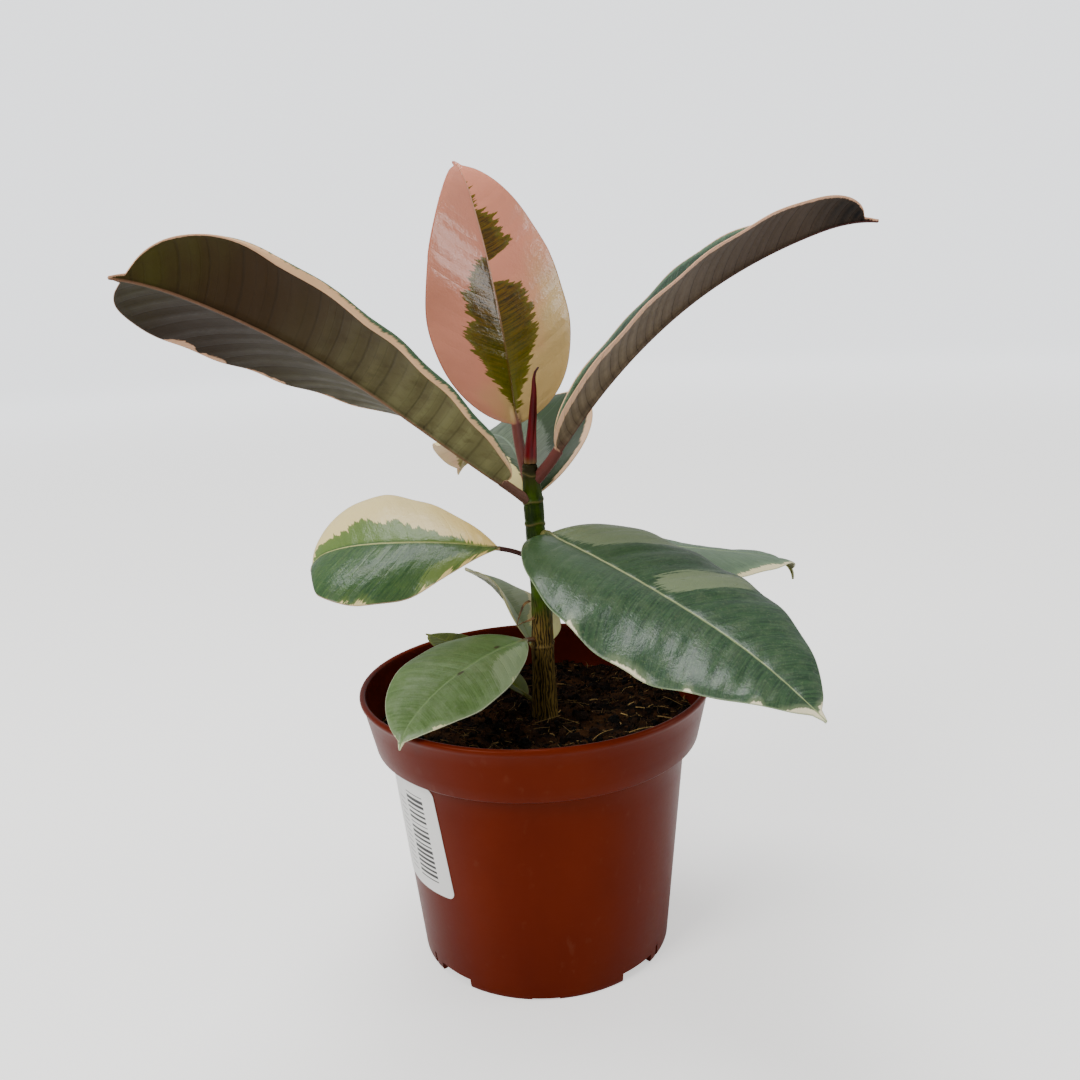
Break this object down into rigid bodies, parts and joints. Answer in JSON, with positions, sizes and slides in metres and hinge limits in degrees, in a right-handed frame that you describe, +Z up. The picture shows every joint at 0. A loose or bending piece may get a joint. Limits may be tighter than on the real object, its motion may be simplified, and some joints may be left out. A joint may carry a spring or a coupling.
{
  "type": "potted rubber plant",
  "caption": "Young variegated rubber plant with one leaning stem and a red bud, in a brown plastic nursery pot of soil.",
  "frame": {"origin": "on the surface the pot stands on, under the middle of the whole plant's bounding box", "axes": "+Z up; +X to the right and -Y towards the viewer, seen from the side with the label at the left"},
  "size_m": [0.217, 0.1722, 0.2675],
  "materials": {
    "pot_plastic": "satin",
    "soil": "matte",
    "stem_bark": "matte",
    "sheath_red": "satin",
    "label_paper": "satin",
    "young_leaf": "gloss",
    "leaf_green": "gloss"
  },
  "bodies": {
    "root": {"pot": "pot_plastic", "soil": "soil", "stem": "stem_bark", "bud_sheath": "sheath_red", "label": "label_paper", "leaf_top": "young_leaf", "leaf_upper_left": "leaf_green", "leaf_upper_right": "leaf_green", "leaf_back": "leaf_green", "leaf_mid_left": "leaf_green", "leaf_front_right": "leaf_green", "leaf_right_back": "leaf_green", "leaf_front_left": "leaf_green", "leaf_low_back": "leaf_green", "leaf_lowest": "leaf_green"}
  },
  "joints": []
}
